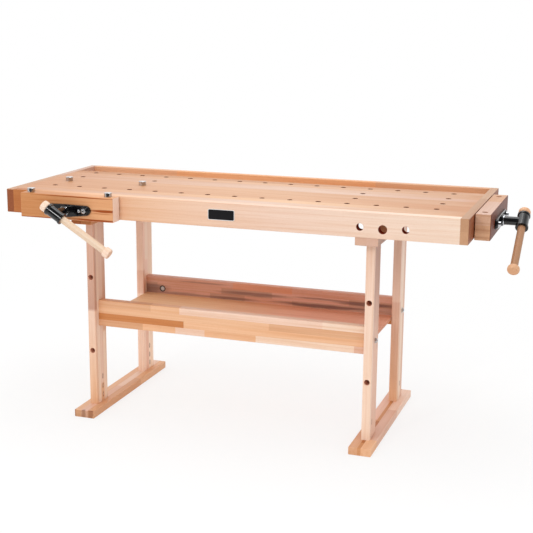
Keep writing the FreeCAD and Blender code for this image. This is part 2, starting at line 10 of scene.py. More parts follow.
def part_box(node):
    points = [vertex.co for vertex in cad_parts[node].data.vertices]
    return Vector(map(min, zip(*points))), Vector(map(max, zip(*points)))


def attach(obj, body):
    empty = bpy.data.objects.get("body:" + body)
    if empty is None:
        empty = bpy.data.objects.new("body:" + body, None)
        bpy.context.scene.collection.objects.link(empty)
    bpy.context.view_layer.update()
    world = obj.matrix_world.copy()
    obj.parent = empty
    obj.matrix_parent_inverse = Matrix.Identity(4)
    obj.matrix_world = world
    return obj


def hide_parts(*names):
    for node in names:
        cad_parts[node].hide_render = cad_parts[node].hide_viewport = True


bl_info = {
    "name": "Joiner's Bench Finish",
    "version": (1, 0, 0),
    "blender": (4, 5, 0),
    "location": "View3D > Sidebar > Bench",
    "description": "Gives the joiner's bench its beech, enamel and steel, and sets its stage",
    "category": "Object",
}

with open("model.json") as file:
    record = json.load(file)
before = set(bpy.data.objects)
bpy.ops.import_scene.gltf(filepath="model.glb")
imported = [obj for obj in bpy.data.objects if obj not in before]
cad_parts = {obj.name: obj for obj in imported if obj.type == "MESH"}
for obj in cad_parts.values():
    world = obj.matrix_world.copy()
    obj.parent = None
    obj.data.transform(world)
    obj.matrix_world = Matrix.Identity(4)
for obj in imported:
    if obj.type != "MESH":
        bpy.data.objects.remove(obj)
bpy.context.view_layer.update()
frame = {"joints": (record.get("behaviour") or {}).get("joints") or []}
JOINTS = {joint["name"]: joint for joint in frame["joints"]}
VISES = ("front", "tail")
MM = 0.001                       # one millimetre, in metres

# ------------------------------------------------------------------ boards
# Each board names the way its grain runs (along), the way its staves lie side by side (across), and
# the staves themselves: (width, [(where a length starts, its tone, the tone it fades to if any), ...]).
# A board's depth runs the way of along cross across. Sizes and places are in mm, from the corner where
# along, across and the depth all begin.
#   level    how light the board is against its tones
#   figure   how strongly the grain shows
#   ends     tone and strength of the end grain
#   skin     painted shade on the outer face: the depth where it begins, and its tone
#   streaks  (middle along, middle across, half length, half width, tone, strength)
#   bores    holes with a tone on their wall, painted shade by default: ("w", along, across, radius) for one through the depth,
#            ("v", along, deep, radius) for one across the staves
#   walls    the band of dog holes across the board, as its middle and half width; their walls get painted shade
#   knots    place across of a row of pin knots, and their heights above the floor
#   pegs     tone on the walls of the peg holes
BOARDS = {
    # painted shade on the walls of the dog holes
    "worktop_slab": dict(along="X", across="Y", level=0.85, figure=1.3, walls=(246, 228), staves=[
        (49, [(0, "amber", "pale"), (1000, "pale", "peach")]),
        (49, [(0, "amber", "apricot"), (1100, "apricot", "tan")]),
        (49, [(0, "amber", "peach"), (1250, "peach", "amber")]),
        (49, [(0, "amber", "peach"), (1100, "peach", "amber")]),
        (49, [(0, "amber", "peach"), (850, "peach", "tan")]),
        (49, [(0, "amber", "peach"), (800, "peach", "tan")]),
        (49, [(0, "amber", "pale"), (1150, "pale", "pink")]),
        (50, [(0, "amber", "pale"), (1050, "pale", "tan")]),
        (50, [(0, "amber", "peach"), (800, "peach", "tan")]),
        (50, [(0, "honey", "tan")])]),
    # painted shade on the walls of the three spare vise holes
    "front_apron": dict(along="X", across="Z", bores=[
        ("w", 1314, 36, 12.7), ("w", 1391, 32, 15.2), ("w", 1468, 36, 12.7)], staves=[
        # painted shade: the apron's stub left of the front jaw, up to 70 mm, is orange for the jaw's shadow
        (86, [(0, "orange", "orange"), (70, "honey", "peach"), (330, "peach", "pale"),
              (1000, "pale", "cream")])]),
    "end_cap_left": dict(along="Y", across="Z", level=0.76, ends=("russet", 1.0), staves=[
        (43, [(0, "tan")]), (43, [(0, "tan"), (380, "pink")])]),
    # painted shade: the right end cap's outer face, beyond 27.4 mm deep, is russet for the shade in the
    # narrow gap to the tail jaw
    "end_cap_right": dict(
        along="Y", across="Z", level=0.68, ends=("tan", 0.4), painted_shade_face=(27.4, "russet"), staves=[
            (43, [(0, "peach")]), (43, [(0, "tan"), (420, "peach")])]),
    "back_rail": dict(along="X", across="Z", staves=[
        (43, [(0, "tan"), (560, "honey"), (980, "tan")]),
        (43, [(0, "tan"), (380, "bisque"), (1210, "tan")])]),
    "tray_inner_rail": dict(along="X", across="Z", level=0.85, staves=[(56, [(0, "pink"), (700, "tan")])]),
    "tray_floor": dict(along="X", across="Y", staves=[(125, [(0, "pale"), (830, "peach")])]),
    "tray_cleats": dict(along="X", across="Y", staves=[(125, [(0, "tan")])]),
    "foot_left": dict(along="Y", across="X", ends=("clay", 0.5), streaks=[
        (0, 3, 9, 4, "russet", 0.8), (0, 38, 11, 9, "walnut_and_painted_shade", 0.7), (0, 66, 9, 12, "russet", 0.9)], staves=[
        (27, [(0, "peach")]), (27, [(0, "pink"), (310, "pale")]), (26, [(0, "tan"), (420, "peach")])]),
    "foot_right": dict(along="Y", across="X", level=1.04, ends=("peach", 0.2), staves=[
        (32, [(0, "tan"), (300, "pink")]), (12, [(0, "honey"), (60, "orange"), (290, "honey")]),
        (36, [(0, "peach"), (95, "pink"), (420, "pale")])]),
    "bearer_left": dict(along="Y", across="X", staves=[(40, [(0, "orange")]), (40, [(0, "honey")])]),
    "bearer_right": dict(along="Y", across="X", level=0.68, ends=("pink", 0.75), staves=[
        (38, [(0, "tan")]), (42, [(0, "pink")])]),
    "post_front_left": dict(along="Z", across="Y", knots=(49, (53, 88, 126)), pegs="copper", staves=[
        (14, [(0, "peach", "pale"), (395, "dusk", "pink")]),
        (20, [(0, "cream", "cream")]),
        (26, [(0, "peach"), (100, "pale", "pale")]),
        (27, [(0, "cream"), (300, "peach", "pink"), (440, "pink", "pale")])]),
    # painted shade: the staves behind the front one darken to dusk towards the top, for the shade of the
    # worktop's overhang
    "post_front_right": dict(along="Z", across="Y", level=1.04, knots=(29, (88,)), pegs="copper", staves=[
        (13, [(0, "cream", "pale")]),
        (24, [(0, "pink"), (330, "pink", "dusk"), (560, "dusk")]),
        (24, [(0, "pink"), (380, "pink", "dusk"), (600, "dusk")]),
        (26, [(0, "pink"), (330, "pink", "dusk"), (600, "dusk")])]),
    "post_rear_left": dict(along="Z", across="Y", level=1.12, knots=(50, (53, 88, 126)), staves=[
        (16, [(0, "pale", "pale"), (360, "pink", "pink"), (460, "pale", "pale")]),
        (26, [(0, "pink"), (330, "pale"), (500, "cream")]),
        (45, [(0, "cream")])]),
    "post_rear_right": dict(along="Z", across="Y", knots=(48, (88,)), staves=[
        (20, [(0, "peach", "pink"), (420, "pale")]), (40, [(0, "cream")]), (27, [(0, "pink")])]),
    "shelf_rail_front": dict(along="X", across="Z", figure=1.3, level=1.03, staves=[
        (25, [(0, "tan"), (185, "peach"), (330, "pale"), (430, "peach"), (640, "cream"), (996, "pink")]),
        (25, [(0, "caramel"), (355, "peach")]),
        (25, [(0, "peach"), (678, "tan")]),
        (25, [(0, "tan"), (230, "peach"), (340, "pale"), (880, "cream")])]),
    "shelf_rail_rear": dict(along="X", across="Z", level=1.06, figure=1.8, streaks=[
        (700, 14, 260, 9, "brown", 0.8), (150, 36, 150, 8, "brown", 0.5), (360, 37, 140, 8, "brown", 0.7),
        (760, 40, 240, 8, "brown", 0.9), (20, 52, 90, 20, "brown", 0.7), (470, 62, 170, 9, "brown", 0.7),
        (930, 62, 150, 10, "brown", 0.9), (740, 66, 120, 5, "brown", 0.6), (250, 88, 120, 4, "brown", 0.5)],
        staves=[
            (25, [(0, "rust"), (520, "dusk")]),
            (25, [(0, "dusk"), (52, "rust"), (290, "dusk"), (440, "rust"), (630, "dusk")]),
            (25, [(0, "dusk"), (60, "rust"), (345, "dusk"), (555, "rust"), (860, "dusk")]),
            (25, [(0, "rust"), (390, "copper"), (640, "rust")])]),
    # painted light: the shelf's tones and level are raised above its own beech, for light that does not
    # reach it under the top
    "shelf_board": dict(along="X", across="Y", level=1.12, figure=1.4, staves=[
        (398, [(0, "apricot", "apricot"), (260, "apricot", "coral"), (700, "coral", "coral")])]),
    "shelf_cleats": dict(along="X", across="Y", staves=[(398, [(0, "tan"), (500, "honey")])]),
    "front_jaw": dict(along="X", across="Z", figure=1.3, ends=("blush", 1.0), streaks=[
        (60, 2, 130, 3.0, "umber", 0.9), (345, 41, 85, 6.5, "umber", 1.0),
        (300, 5, 130, 4.5, "umber", 1.0), (230, 84, 190, 2.4, "umber", 1.0),
        # the orange streak at 110 along, 66 across is partly the wood's own streak and partly painted
        # shadow of the handle's knob
        (330, 30, 50, 2.0, "orange", 0.8), (110, 66, 70, 3, "orange", 0.6)], staves=[
        (88, [(0, "honey", "honey"), (150, "honey", "bisque"), (300, "bisque")])]),
    # painted shade: the tail jaw's outer face, beyond 50 mm deep, is dark walnut for the shade on it
    "tail_jaw": dict(along="Y", across="Z", level=0.84, ends=("peach", 0.45), painted_shade_face=(50, "walnut_and_painted_shade"), bores=[
        # painted shade on the walls of the two rod holes
        ("v", 42.4, 26, 10), ("v", 377.4, 26, 10)], streaks=[
        (0, 21, 20, 6, "peach", 0.7), (0, 36, 16, 4, "umber", 0.6), (0, 10, 14, 3, "umber", 0.5),
        (0, 58, 18, 3, "russet", 0.4), (0, 84, 20, 4, "russet", 0.5)], staves=[
        (50, [(0, "tan")]), (38, [(0, "pink"), (260, "tan")])]),
}
TONES = {  # name: (what it is, sRGB)
    "cream": ("Palest sapwood", "#F6DECC"),
    "pale": ("Pale pinkish sapwood", "#F0D2C0"),
    "pink": ("Pink steamed beech", "#E6BFAB"),
    "peach": ("Warm sapwood", "#EBBD98"),
    "tan": ("Tan heartwood", "#DDAC87"),
    "bisque": ("Warm, light jaw beech", "#E5AC7E"),
    # On the shelf, apricot and coral are painted light: lighter than its own beech, since the shelf lies in
    # the top's shade.
    "apricot": ("Warm, bright shelf beech", "#FBD2AB"),
    "coral": ("Reddish, bright shelf beech", "#EEB7A0"),
    "amber": ("Amber heartwood", "#D89D71"),
    "honey": ("Honey heartwood", "#CE915E"),
    "caramel": ("Caramel heartwood", "#CA854F"),
    "orange": ("Orange heartwood", "#B8733F"),
    "dusk": ("Greyish pink beech", "#C79D8B"),
    "copper": ("Reddish steamed beech", "#DDA388"),
    "rust": ("Deep steamed heartwood", "#DAAB99"),
    "brown": ("Dark grey-brown heartwood", "#85655E"),
    # Russet is also painted shade on the right end cap's outer face.
    "russet": ("Weathered end grain", "#965533"),
    "umber": ("Mineral streak", "#A04A0C"),
    "blush": ("Fresh-cut end grain", "#F8DCCB"),
    "ash": ("White beech of a handle", "#ECD6BF"),
    "clay": ("Tanned beech", "#B68866"),
    # On the tail jaw's outer face this tone is painted shade; on knots and end-grain streaks it is the
    # wood's own dark colour.
    "walnut_and_painted_shade": ("Oil-darkened face, and a knot's bark", "#733418"),
    # Painted shade: the walls of drilled holes get this dark tone for the shade inside them.
    "painted_bore_shade": ("Wall of a drilled hole", "#8E2C08"),
    # Painted shade: the walls of the dog holes get this dark tone for the shade inside them.
    "scorch": ("Burnished wall of a dog hole", "#5A1C08"),
}
# A pin knot, from its dark bark to its pale heart: (half length and width in mm, tone, strength)
KNOT = ((13.0, 6.0, "walnut_and_painted_shade", 0.8), (6.5, 2.6, "pale", 0.9))
# How the grain varies: (length and width of one mark in mm, where it starts and is full on the
# noise, its tint, its strength)
GRAIN = (
    (900, 55, 0.35, 0.70, (0.90, 0.80, 0.71), 0.45),     # slow change along a stave
    (420, 9.0, 0.42, 0.72, (0.90, 0.78, 0.66), 0.60),    # bands of early and late wood
    (260, 2.2, 0.45, 0.70, (0.92, 0.84, 0.76), 0.55),    # single growth rings
    (7, 0.9, 0.60, 0.72, (0.74, 0.58, 0.44), 0.35),      # ray flecks, drawn twice their real width
)
PEG_HEIGHTS = (240, 524)         # peg holes above the floor, in mm
PEG_REACH = 10.2                 # radius that a peg hole's tone covers, in mm
RAMP_CELLS = 255                 # a colour ramp is read in this many cells
TONE_GAP = 0.2                   # mm before a new length where a fading tone ends
STAVE_JITTER = 0.03              # how much lighter or darker than its tone a stave may be
STAVE_SPREAD = 37.0              # metres over which a board's staves are spread in the grain
BOARD_SPREAD = 9                 # metres over which the boards are spread in it
SEAM_TINT = (0.86, 0.78, 0.70)   # glue between two staves
STREAK_BENDS = (222.2, 71.43, 71.43)   # mm from bend to bend of a streak's edge: along, across, deep
STREAK_SWAY = 2.2                # how far a streak's edge wanders, in its half widths
STREAK_EDGE = (1.05, 0.5)        # where a streak begins and where it is full, in its half sizes
END_GRAIN_LEAN = 0.75            # a face that looks this much along the fibres shows end grain
PITH_SPREAD = (0.006, 0.006, 0.009)    # share of its stave's spread by which a pith moves
PITH_START = 0.012               # share of its board's spread by which it moves too
RING_TINT = (0.87, 0.80, 0.74)   # late wood of a growth ring
RING_WAVE = 0.314                # from ring to ring of Blender's wave texture at scale 1
HOLE_EDGE = (0.3, 0.2)           # mm outside and inside a hole's radius where its tone begins and is full
UPRIGHT_LEAN = 0.6               # a face that looks less than this up or down is a dog hole's wall
PLANED, OPEN_GRAIN = 0.46, 0.72  # roughness of a face and of end grain

# ------------------------------------------------------------------ metal, handles and plate
EASE = 1.0 * MM                  # chamfer at the spindle's ends
JAW_INSIDE = 52.0 * MM           # plain part of the spindle that lies inside the wooden jaw
FLANK_ANGLE = math.radians(15)   # half the angle of a trapezoidal thread
THREAD_STEPS = 40                # flat sides that make up one turn
CREASE = math.radians(30)        # edges sharper than this stay sharp
WELD = 1e-6                      # metres within which two points are one
HANDLE_STAVE = 60                # mm across the one stave that a handle is turned from
PLATE_BRUSHING = (83.33, 1000.0, 0.4)  # mm of one brushed line: along, through and across the plate
MARK_SHADE = 0.72                # brightness of a turning mark against the steel
TURNED_SPREAD = (0.7, 1.4)       # roughness of clean and of smeared steel, against its average
PLATED_SPREAD = (0.8, 1.25)      # roughness of the smoothest and of the dullest cloud, likewise
NUT_RIM_SHADE = (0.95, 0.6)           # where a nut's painted rim shade begins to fade and is gone, in its radius
NUT_CLOUDS = 0.3                 # how far the edge of that painted shade wanders, in its radius

# ------------------------------------------------------------------ stage, in metres
AHEAD = (-0.345, 0.939, 0.0)     # the way the camera looks, level
CAMERA_PLACE = (1.3197, -3.8754, 1.5176)
CAMERA_YAW, CAMERA_PITCH, CAMERA_ROLL = 0.35201, 0.22775, -0.00317   # radians
CAMERA_FRAME = 36.0              # width of its sensor, in mm
LENS_SHIFT = (0.0495, 0.0029)    # in widths of the sensor
LAMPS = (("key", (-0.9, -3.7, 2.5), 0.6), ("top", (0.0, 0.2, 3.4), 1.4))   # name, place, side
LAMP_AIM = (0, 0, 0.6)
FLOOR_DROP = 0.2 * MM            # just clear of the undersides of the feet
FLOOR_FADE = (0.9, 3.2)          # away from the middle, the floor turns white between these
FLOOR_WHITE = 0.76               # share of white that it has already at the bench
FLOOR_DIM = (2.8, 3.6)           # towards the camera, it turns dim between these
ROOM_DIM = 0.12                  # what shiny things see where no patch of light is
# Patches of light that shiny things see: (toward, cosines at its edge and where it is full, brightness)
PATCHES = (
    (AHEAD, 0.0, 0.4, 1.0),
    ((-0.2, 0.3, 0.93), 0.8, 0.95, 0.9),
    ((-0.75, -0.6, 0.3), 0.86, 0.96, 2.6),
)


# ------------------------------------------------------------------ settings
def linear(hexed):
    """An sRGB hex value as linear red, green and blue."""
    parts = [int(hexed[i:i + 2], 16) / 255 for i in (1, 3, 5)]
    return tuple(c / 12.92 if c <= 0.04045 else ((c + 0.055) / 1.055) ** 2.4 for c in parts)


def colour(name, description, hexed):
    return bpy.props.FloatVectorProperty(name=name, description=description, subtype="COLOR", size=3,
                                         min=0.0, max=1.0, default=linear(hexed))


def length(name, description, default_mm):
    return bpy.props.FloatProperty(name=name, description=description, unit="LENGTH", min=0.0,
                                   precision=5, default=default_mm * MM)


class BenchBeech(bpy.types.PropertyGroup):
    """Tones of the staves, and the sizes of what the eye sees in planed beech."""
    __annotations__ = {name: colour(name.capitalize(), text, hexed)
                       for name, (text, hexed) in TONES.items()}
    __annotations__["glue_line"] = length("Glue line", "Width of the seam between two staves", 0.3)
    __annotations__["ring_width"] = length("Ring width", "Width of one growth ring in the end grain", 3.2)
    __annotations__["grain_relief"] = length("Grain relief", "Depth of the open grain after planing", 0.12)


class BenchMetals(bpy.types.PropertyGroup):
    """Finishes of the castings, the turned steel and the fasteners."""
    enamel: colour("Enamel", "Gloss black enamel on the vise castings", "#08080A")
    enamel_thin: colour("Thin enamel", "Where the enamel lies thin", "#101014")
    steel: colour("Steel", "Turned bright steel", "#C9C8CA")
    zinc: colour("Zinc", "Zinc plating on the fasteners", "#D3D6DA")
    raw_iron: colour("Raw iron", "Unpainted nuts inside the bench", "#8E8C8A")
    # painted shade at the rim of each barrel nut face, for the gap round the nut
    painted_rim_shade: colour("Blackening", "Oil-blackened rim of the barrel nuts", "#2E2C2B")
    plate_face: colour("Plate face", "Blank name plate", "#08080A")
    plate_lines: colour("Plate lines", "Brushed lines on the name plate", "#151519")
    plate_edge: colour("Plate edge", "White lacquered rim of the name plate", "#EEEDEC")
    casting_grain: length("Casting grain", "Size of the sand grain under the enamel", 1.6)
    casting_relief: length("Casting relief", "Depth of the sand grain that shows", 0.3)
    enamel_pool: length("Enamel pool", "Width of a pool where the enamel ran thick", 22.22)
    lathe_pitch: length("Lathe pitch", "Spacing of turning marks, drawn coarser than real to show", 0.5)
    smear: length("Smear", "Width of a smear of oil on turned steel", 16.67)
    cloud: length("Cloud", "Width of a cloud in the plating, drawn coarser than real to show", 4.545)
    tool_relief: length("Tool relief", "Depth of turning marks and of the plating's clouds", 0.1)
    thread_pitch: length("Thread pitch", "Travel of a vise for one turn of its spindle", 5.0)
    thread_radius: length("Thread radius", "Outside radius of the spindle's thread", 11.0)
    thread_root: length("Thread root", "Radius at the bottom of the thread", 9.0)
    journal_radius: length("Journal radius", "Plain part of the spindle", 12.0)


class BenchStage(bpy.types.PropertyGroup):
    """Floor, lamps and camera."""
    floor: colour("Floor", "Pale studio floor", "#F7F7F7")
    floor_back: colour("Back of the floor", "Dim floor under the camera and behind it", "#4A4744")
    floor_size: length("Floor size", "Side of the studio floor", 60000)
    key_power: bpy.props.FloatProperty(name="Key", description="Softbox at the front left", unit="POWER",
                                       min=0, default=26)
    top_power: bpy.props.FloatProperty(name="Top", description="Softbox over the bench", unit="POWER",
                                       min=0, default=15)
    room: bpy.props.FloatProperty(name="Room", description="Brightness of the room's own light",
                                  min=0, max=2, default=1.0)
    focal_length: bpy.props.FloatProperty(name="Lens", description="Focal length on a 36 mm frame",
                                          unit="CAMERA", min=1, default=76.95)


def settings(name):
    return getattr(bpy.context.scene, "bench_" + name)


# ------------------------------------------------------------------ material tools
def add(tree, kind, inputs=None, ramp=None, **attributes):
    """Adds one shader node: attributes are set on it, and inputs are set or linked by name or number.
    ramp is a colour ramp's interpolation and its (position, colour) stops."""
    node = tree.nodes.new("ShaderNode" + kind)
    for name, value in attributes.items():
        setattr(node, name, value)
    for key, value in (inputs or {}).items():
        socket = node.inputs[key]
        if isinstance(value, bpy.types.NodeSocket):
            tree.links.new(value, socket)
        elif socket.type == "RGBA" and len(value) == 3:
            socket.default_value = (*value, 1.0)
        else:
            socket.default_value = value
    if ramp:
        node.color_ramp.interpolation, stops = ramp
        elements = node.color_ramp.elements
        elements.remove(elements[1])
        for i, (position, value) in enumerate(stops):
            stop = elements[0] if i == 0 else elements.new(position)
            stop.position = position
            stop.color = (*value, 1.0)
    return node.outputs


def per_metre(*sizes):
    """How many marks of each of these sizes, in mm, go in a metre."""
    return [1 / (size * MM) for size in sizes]


def new_material(name):
    """An empty node material, and its tree."""
    material = bpy.data.materials.new(name)
    material.use_nodes = True
    material.node_tree.nodes.clear()
    return material, material.node_tree


def finish_surface(tree, **inputs):
    """Principled shader to the output; underscores in a name stand for spaces."""
    shader = add(tree, "BsdfPrincipled", {k.replace("_", " "): v for k, v in inputs.items()})
    add(tree, "OutputMaterial", {"Surface": shader["BSDF"]})


def paint(names, material):
    """Gives CAD nodes, or pieces made here, this material."""
    for name in names:
        piece = bpy.data.objects[name]
        if piece.material_slots:
            for slot in piece.material_slots:
                slot.material = material
        else:
            piece.data.materials.append(material)


# ------------------------------------------------------------------ wood
AXES = {"X": Vector((1, 0, 0)), "Y": Vector((0, 1, 0)), "Z": Vector((0, 0, 1))}


def lay_staves(tree, dice, size, staves, level, u, v):
    """Tone of every length of every stave. It gives back which stave a point is in, as a grey value,
    its tone, and the seams between staves, if there are any."""
    tones = settings("beech")
    long_mm, wide_mm = size[0] / MM, size[1] / MM
    rows = len(staves)
    cell = rows / RAMP_CELLS     # a row is read from one cell in to half a cell before its end
    fades = any(len(piece) > 2 for _, pieces in staves for piece in pieces)
    starts, tone_stops, seams, edge = [], [], [(0.0, (0, 0, 0))], 0.0
    for i, (width, pieces) in enumerate(staves):
        starts.append((edge / wide_mm, (i / rows,) * 3))
        ends_at = [piece[0] for piece in pieces[1:]] + [long_mm]
        following = [piece[1] for piece in pieces[1:]] + [None]
        for (begin, *names), end, then in zip(pieces, ends_at, following):
            shift = level * (1 + dice.uniform(-STAVE_JITTER, STAVE_JITTER) * (not fades))
            stops = [(begin, names[0])]
            if fades and names[-1] != then:
                stops.append((end - TONE_GAP, names[-1]))
            for at, tone in stops:
                shade = [min(1.0, c * shift) for c in getattr(tones, tone)]
                tone_stops.append(((i + at / long_mm * (1 - 1.5 * cell)) / rows, shade))
        edge += width
    half_seam = tones.glue_line / size[1] / 2
    for start, _ in starts[1:]:
        seams += [(start - half_seam, (1, 1, 1)), (start + half_seam, (0, 0, 0))]

    cross_part = add(tree, "Math", {0: v, 1: size[1]}, operation="DIVIDE")[0]
    long_part = add(tree, "MapRange", {"Value": u, "From Max": size[0], "To Min": cell,
                                       "To Max": 1 - cell / 2})[0]
    row = add(tree, "ValToRGB", {"Fac": cross_part}, ramp=("CONSTANT", starts))[0]
    place = add(tree, "Math", {0: long_part, 1: 1 / rows, 2: row},
                operation="MULTIPLY_ADD")[0]
    shade = add(tree, "ValToRGB", {"Fac": place},
                ramp=("LINEAR" if fades else "CONSTANT", tone_stops))[0]
    seam = None
    if rows > 1:
        seam = add(tree, "ValToRGB", {"Fac": cross_part}, ramp=("CONSTANT", seams))[0]
    return row, shade, seam


def draw_streaks(tree, shade, board_point, streaks):
    """Mineral streaks and knots, with edges that wander."""
    tones = settings("beech")
    drift = add(tree, "VectorMath", {0: board_point, 1: per_metre(*STREAK_BENDS)},
                operation="MULTIPLY")[0]
    wander = add(tree, "TexNoise", {"Vector": drift, "Scale": 1.0, "Detail": 4.0})[1]
    begins, full = STREAK_EDGE
    for at_u, at_v, half_u, half_v, tone, strength in streaks:
        sway = half_v * STREAK_SWAY
        swayed = add(tree, "VectorMath", {0: wander, 1: (0.0, sway * MM, 0.0), 2: board_point},
                     operation="MULTIPLY_ADD")[0]
        # the noise is a half on average, which moves the middle by half the sway
        middle = Vector((at_u, at_v + sway / 2, 0)) * MM
        off = add(tree, "VectorMath", {0: swayed, 1: middle}, operation="SUBTRACT")[0]
        off = add(tree, "VectorMath", {0: off, 1: (*per_metre(half_u, half_v), 0.0)},
                  operation="MULTIPLY")[0]
        away = add(tree, "VectorMath", {0: off}, operation="LENGTH")["Value"]
        cover = add(tree, "MapRange", {"Value": away, "From Min": begins, "From Max": full,
                                       "To Max": strength})[0]
        shade = add(tree, "Mix", {0: cover, 6: shade, 7: getattr(tones, tone)[:]},
                    data_type="RGBA")[2]
    return shade


def draw_grain(tree, shade, grain_point, figure):
    """Grain, from the slow change along a stave down to the flecks, and its relief."""
    relief = None
    for long_mm, wide_mm, begins, full, tint, strength in GRAIN:
        stretched = add(tree, "VectorMath",
                        {0: grain_point, 1: per_metre(long_mm, wide_mm, wide_mm)},
                        operation="MULTIPLY")[0]
        noise = add(tree, "TexNoise", {"Vector": stretched, "Scale": 1.0, "Detail": 2.0})[0]
        mark = add(tree, "MapRange", {"Value": noise, "From Min": begins, "From Max": full,
                                      "To Max": min(1.0, strength * figure)})[0]
        shade = add(tree, "Mix", {0: mark, 6: shade, 7: tint}, data_type="RGBA",
                    blend_type="MULTIPLY")[2]
        relief = mark if relief is None else add(tree, "Math", {0: relief, 1: mark})[0]
    return shade, relief


def draw_end_grain(tree, shade, normal, along, ends, board_point, own, origin):
    """End grain where a face cuts the fibres: a mix towards its own tone, with growth rings."""
    tones = settings("beech")
    cut = add(tree, "VectorMath", {0: normal, 1: along}, operation="DOT_PRODUCT")["Value"]
    cut = add(tree, "Math", {0: cut}, operation="ABSOLUTE")[0]
    cut = add(tree, "Math", {0: cut, 1: END_GRAIN_LEAN}, operation="GREATER_THAN")[0]
    pith = add(tree, "VectorMath", {0: own, 1: PITH_SPREAD, 2: board_point},
               operation="MULTIPLY_ADD")[0]
    pith = add(tree, "VectorMath", {0: pith, 1: origin * PITH_START}, operation="ADD")[0]
    rings = add(tree, "TexWave", {
        "Vector": pith, "Scale": RING_WAVE / tones.ring_width, "Distortion": 4.5, "Detail": 2.0,
        "Detail Scale": 0.25}, wave_type="RINGS", rings_direction="X")[0]
    tone, strength = ends
    plain = add(tree, "Mix", {0: strength, 6: shade, 7: getattr(tones, tone)[:]},
                data_type="RGBA")[2]
    late_wood = add(tree, "Mix", {0: 1.0, 6: plain, 7: RING_TINT}, data_type="RGBA",
                    blend_type="MULTIPLY")[2]
    ringed = add(tree, "Mix", {0: rings, 6: plain, 7: late_wood}, data_type="RGBA")[2]
    shade = add(tree, "Mix", {0: cut, 6: shade, 7: ringed}, data_type="RGBA")[2]
    return shade, cut


def line_bores(tree, shade, board_point, bores):
    """Walls of drilled holes: all that is within a radius of a line through the board. Where no tone is
    given, the bore tone on them is painted shade for the inside of the hole.
    """
    tones = settings("beech")
    outer, inner = HOLE_EDGE
    hollow = 0.0
    for axis, a, b, radius, *tone in bores:
        middle, keep = (Vector((a, b, 0)), (1, 1, 0)) if axis == "w" else (Vector((a, 0, b)), (1, 0, 1))
        lining = getattr(tones, tone[0] if tone else "painted_bore_shade")
        off = add(tree, "VectorMath", {0: board_point, 1: middle * MM}, operation="SUBTRACT")[0]
        off = add(tree, "VectorMath", {0: off, 1: keep}, operation="MULTIPLY")[0]
        away = add(tree, "VectorMath", {0: off}, operation="LENGTH")["Value"]
        inside = add(tree, "MapRange", {"Value": away, "From Min": (radius + outer) * MM,
                                        "From Max": (radius - inner) * MM})[0]
        shade = add(tree, "Mix", {0: inside, 6: shade, 7: lining[:]}, data_type="RGBA")[2]
        hollow = add(tree, "Math", {0: hollow, 1: inside})[0]
    return shade, hollow


def shade_dog_hole_walls(tree, shade, hollow, normal, deep, v, walls):
    """Painted shade on the walls of the dog holes: every upright face within the band that holds them gets
    a dark tone.
    """
    middle, half = walls
    upright = add(tree, "VectorMath", {0: normal, 1: deep}, operation="DOT_PRODUCT")["Value"]
    upright = add(tree, "Math", {0: upright, 1: 0.0, 2: UPRIGHT_LEAN}, operation="COMPARE")[0]
    within = add(tree, "Math", {0: v, 1: middle * MM, 2: half * MM}, operation="COMPARE")[0]
    inside = add(tree, "Math", {0: upright, 1: within}, operation="MULTIPLY")[0]
    shade = add(tree, "Mix", {0: inside, 6: shade, 7: settings("beech").scorch[:]},
                data_type="RGBA")[2]
    hollow = add(tree, "Math", {0: hollow, 1: inside})[0]
    return shade, hollow


